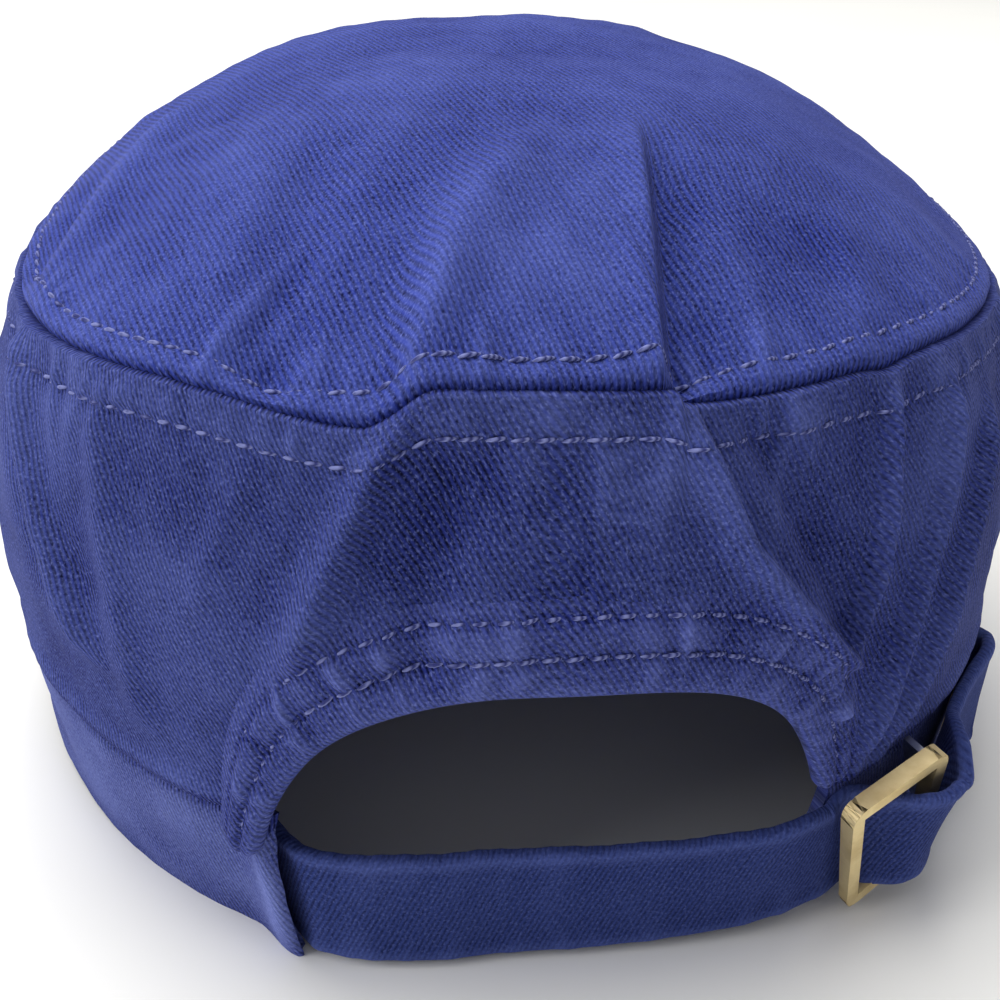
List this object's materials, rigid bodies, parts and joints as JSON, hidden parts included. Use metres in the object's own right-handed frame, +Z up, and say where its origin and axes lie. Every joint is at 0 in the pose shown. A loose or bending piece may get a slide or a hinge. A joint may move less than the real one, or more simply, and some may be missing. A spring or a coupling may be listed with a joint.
{
  "type": "cadet cap",
  "caption": "Flat-topped military style cloth cap with a short peak and an arched back opening closed by a buckled strap.",
  "frame": {"origin": "under the middle of the whole cap, on the surface it stands on", "axes": "+Z up; the peak points to -Y and the strapped back opening to +Y"},
  "size_m": [0.1744, 0.2398, 0.1106],
  "materials": {
    "twill": "washed cotton twill",
    "lining": "dark cotton",
    "strap_cloth": "doubled cotton twill",
    "brass": "dull brass",
    "steel": "bright plated steel"
  },
  "bodies": {
    "root": {"crown_top": "twill", "crown_wall": "twill", "opening_binding": "twill", "headband": "twill", "sweatband": "lining", "peak": "twill", "strap": "strap_cloth", "buckle_frame": "brass", "buckle_jaw": "steel", "slot_grommet": "brass"}
  },
  "joints": []
}
